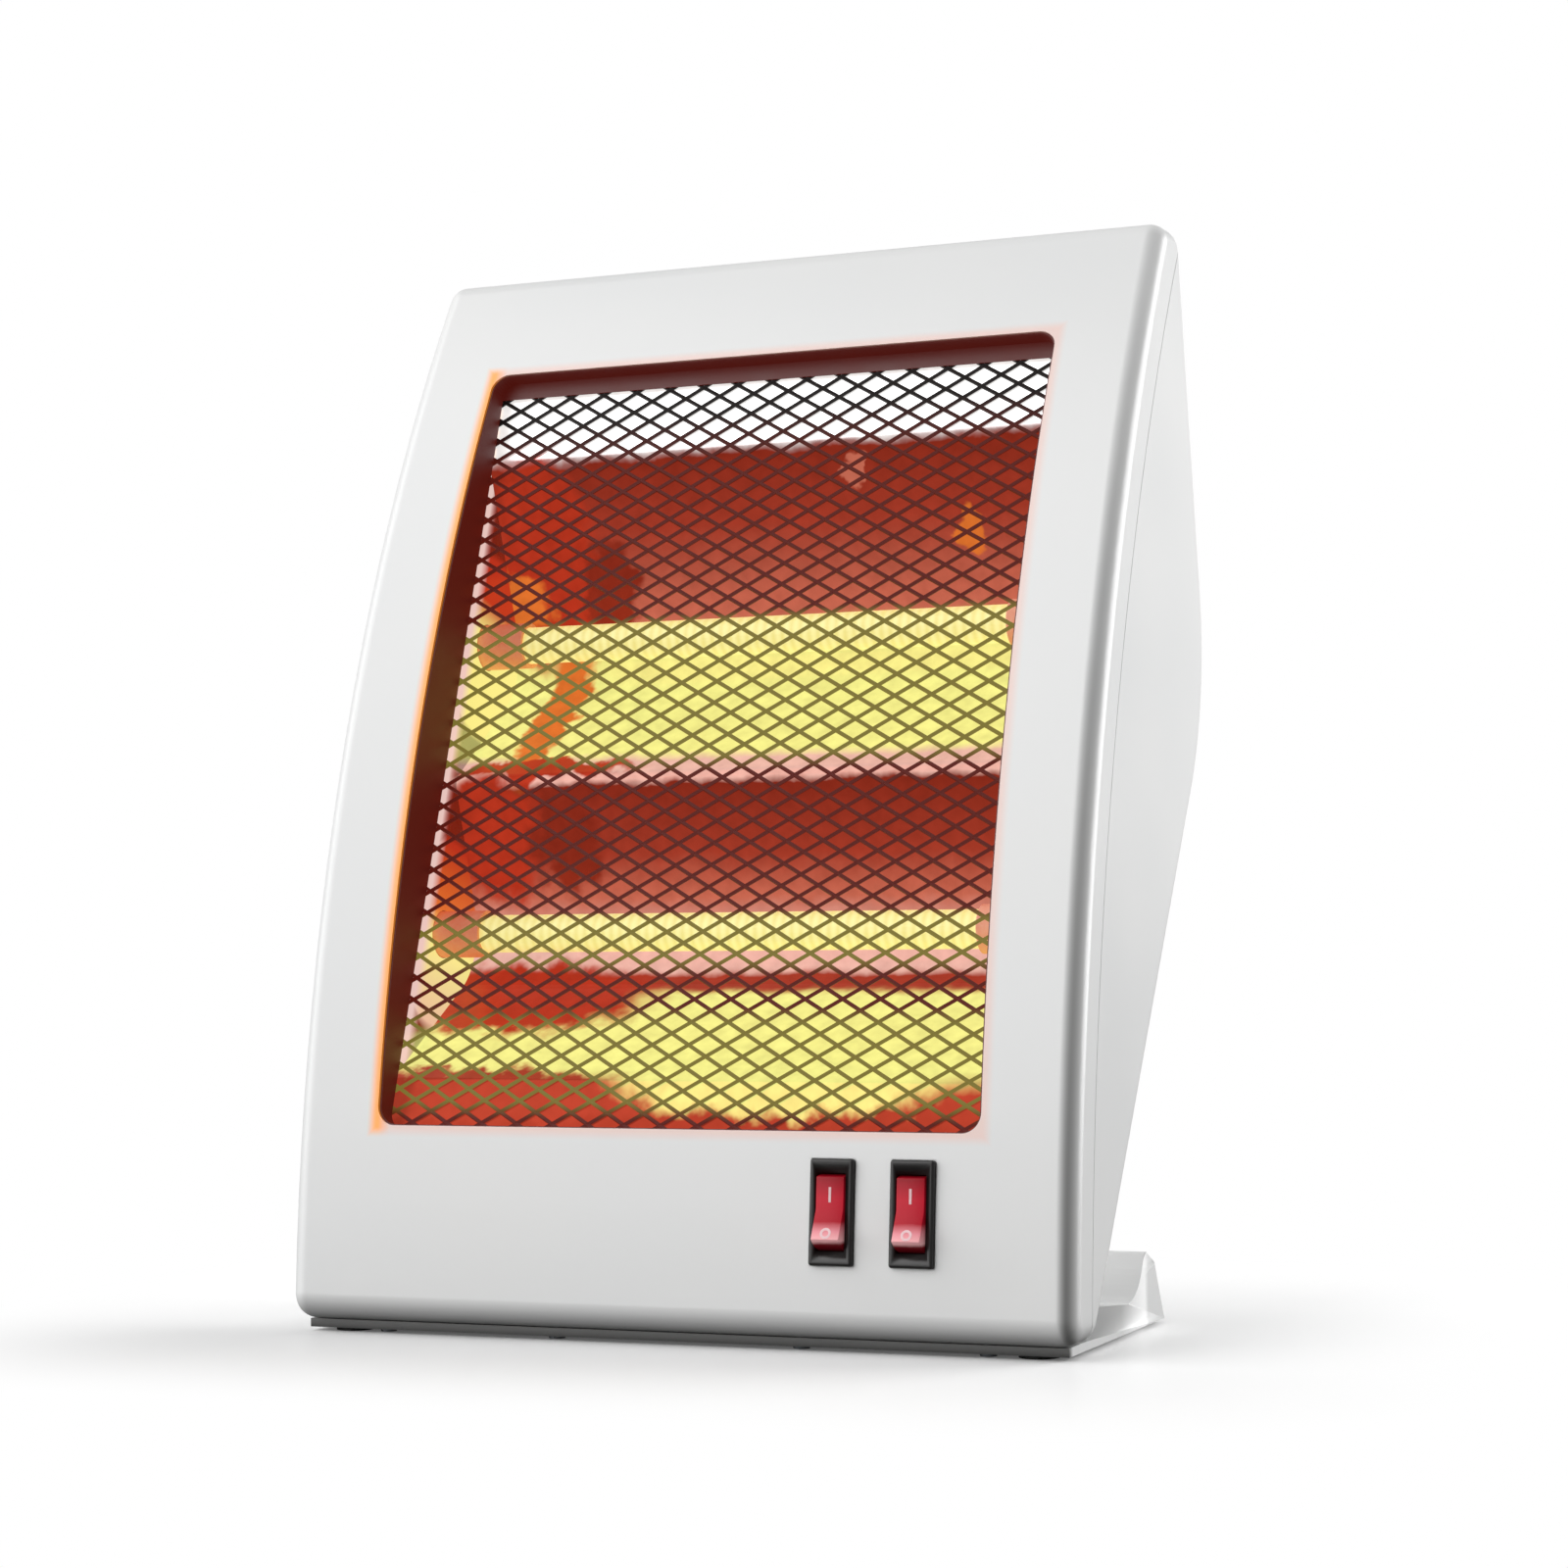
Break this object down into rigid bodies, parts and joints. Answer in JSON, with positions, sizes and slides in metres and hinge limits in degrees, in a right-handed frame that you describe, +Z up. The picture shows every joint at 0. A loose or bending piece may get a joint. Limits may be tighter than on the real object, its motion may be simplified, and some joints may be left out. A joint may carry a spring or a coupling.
{
  "type": "quartz heater",
  "caption": "Free-standing electric quartz heater: leaning curved body on a low stand, black expanded-metal guard over glowing tubes in a polished reflector, red rocker switches.",
  "frame": {"origin": "on the floor, at the middle of the width and of the whole depth", "axes": "+X to the right as one faces the heater, +Y to its back, +Z up"},
  "size_m": [0.255, 0.1538, 0.344],
  "materials": {
    "white_abs": "glossy injection-moulded ABS",
    "black_enamelled_steel": "semi-gloss black enamel on expanded steel",
    "polished_aluminium": "mirror-polished sheet",
    "quartz_glass": "milky quartz, lit from inside",
    "resistance_wire": "oxidised nickel-chrome wire",
    "steatite_ceramic": "matt fired steatite",
    "brass": "stamped and turned brass",
    "black_nylon": "fine-grained moulded nylon",
    "red_polycarbonate": "glossy translucent red polycarbonate",
    "black_rubber": "matt rubber",
    "white_nylon": "matt moulded nylon",
    "black_phenolic": "moulded phenolic",
    "spring_steel": "drawn spring steel",
    "zinc_plated_steel": "bright zinc plate"
  },
  "bodies": {
    "heater": {"front_cover": "white_abs", "rear_cover": "white_abs", "cover_screws": "zinc_plated_steel", "guard_mesh": "black_enamelled_steel", "reflector": "polished_aluminium", "reflector_end_left": "polished_aluminium", "reflector_end_right": "polished_aluminium", "reflector_screws": "zinc_plated_steel", "tube_terminals": "brass", "cap_retainers": "spring_steel", "thermal_cutout": "black_phenolic", "stand": "white_abs", "stand_screws": "zinc_plated_steel", "sole_plate": "zinc_plated_steel", "sole_plate_screws": "zinc_plated_steel", "rubber_feet": "black_rubber", "tip_switch_body": "black_nylon", "tip_spring": "spring_steel", "cord_inlet": "black_nylon", "inlet_nut": "black_nylon", "terminal_block": "white_nylon", "quartz_tube_upper": "quartz_glass", "heating_coil_upper": "resistance_wire", "ceramic_cap_upper_left": "steatite_ceramic", "ceramic_cap_upper_right": "steatite_ceramic", "quartz_tube_lower": "quartz_glass", "heating_coil_lower": "resistance_wire", "ceramic_cap_lower_left": "steatite_ceramic", "ceramic_cap_lower_right": "steatite_ceramic", "switch_body_left": "black_nylon", "switch_terminals_left": "brass", "switch_body_right": "black_nylon", "switch_terminals_right": "brass"},
    "rocker_left": {"rocker_left": "red_polycarbonate"},
    "rocker_right": {"rocker_right": "red_polycarbonate"},
    "tip_plunger": {"tip_plunger": "white_nylon"}
  },
  "joints": [
    {"name": "rocker_left_hinge", "type": "hinge", "parent": "heater", "child": "rocker_left", "pos_m": [0.05355, -0.06848, 0.0408], "axis": [1, 0, 0], "range_deg": [0, 22]},
    {"name": "rocker_right_hinge", "type": "hinge", "parent": "heater", "child": "rocker_right", "pos_m": [0.07845, -0.06848, 0.0408], "axis": [1, 0, 0], "range_deg": [0, 22]},
    {"name": "tip_plunger_slide", "type": "slide", "parent": "heater", "child": "tip_plunger", "axis": [0, 0, -1], "range_m": [0, 0.003], "stiffness_N_per_m": 60, "springref_m": 0.006, "deforming": ["tip_spring"]}
  ]
}
